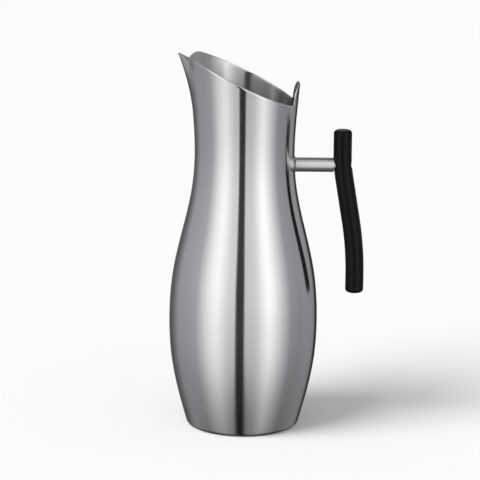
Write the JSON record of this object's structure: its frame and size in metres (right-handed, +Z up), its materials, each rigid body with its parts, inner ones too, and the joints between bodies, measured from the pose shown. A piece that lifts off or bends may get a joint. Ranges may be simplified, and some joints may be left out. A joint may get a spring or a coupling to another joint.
{
  "type": "water pitcher",
  "caption": "Slant-mouth stainless water pitcher with a pinched pouring beak, a rear tongue and a black bar grip on a welded post.",
  "frame": {"origin": "centre of the face that the pitcher stands on, on the body's axis", "axes": "+Z up along the body's axis, +X towards the handle, the pouring beak points to -X"},
  "size_m": [0.1547, 0.118, 0.3003],
  "materials": {
    "body_steel": "satin, brushed round the axis",
    "weld_steel": "ground weld bead",
    "post_steel": "polished stainless steel",
    "grip_black": "satin-gloss moulded phenolic",
    "hardware_steel": "bright stainless fasteners"
  },
  "bodies": {
    "root": {"body_shell": "body_steel", "base_disc": "body_steel", "base_seam": "weld_steel", "handle_post": "post_steel", "post_root_weld": "weld_steel", "post_end_plug": "post_steel", "grip": "grip_black", "flat_washer": "hardware_steel", "spring_washer": "hardware_steel", "grip_screw": "hardware_steel"}
  },
  "joints": []
}
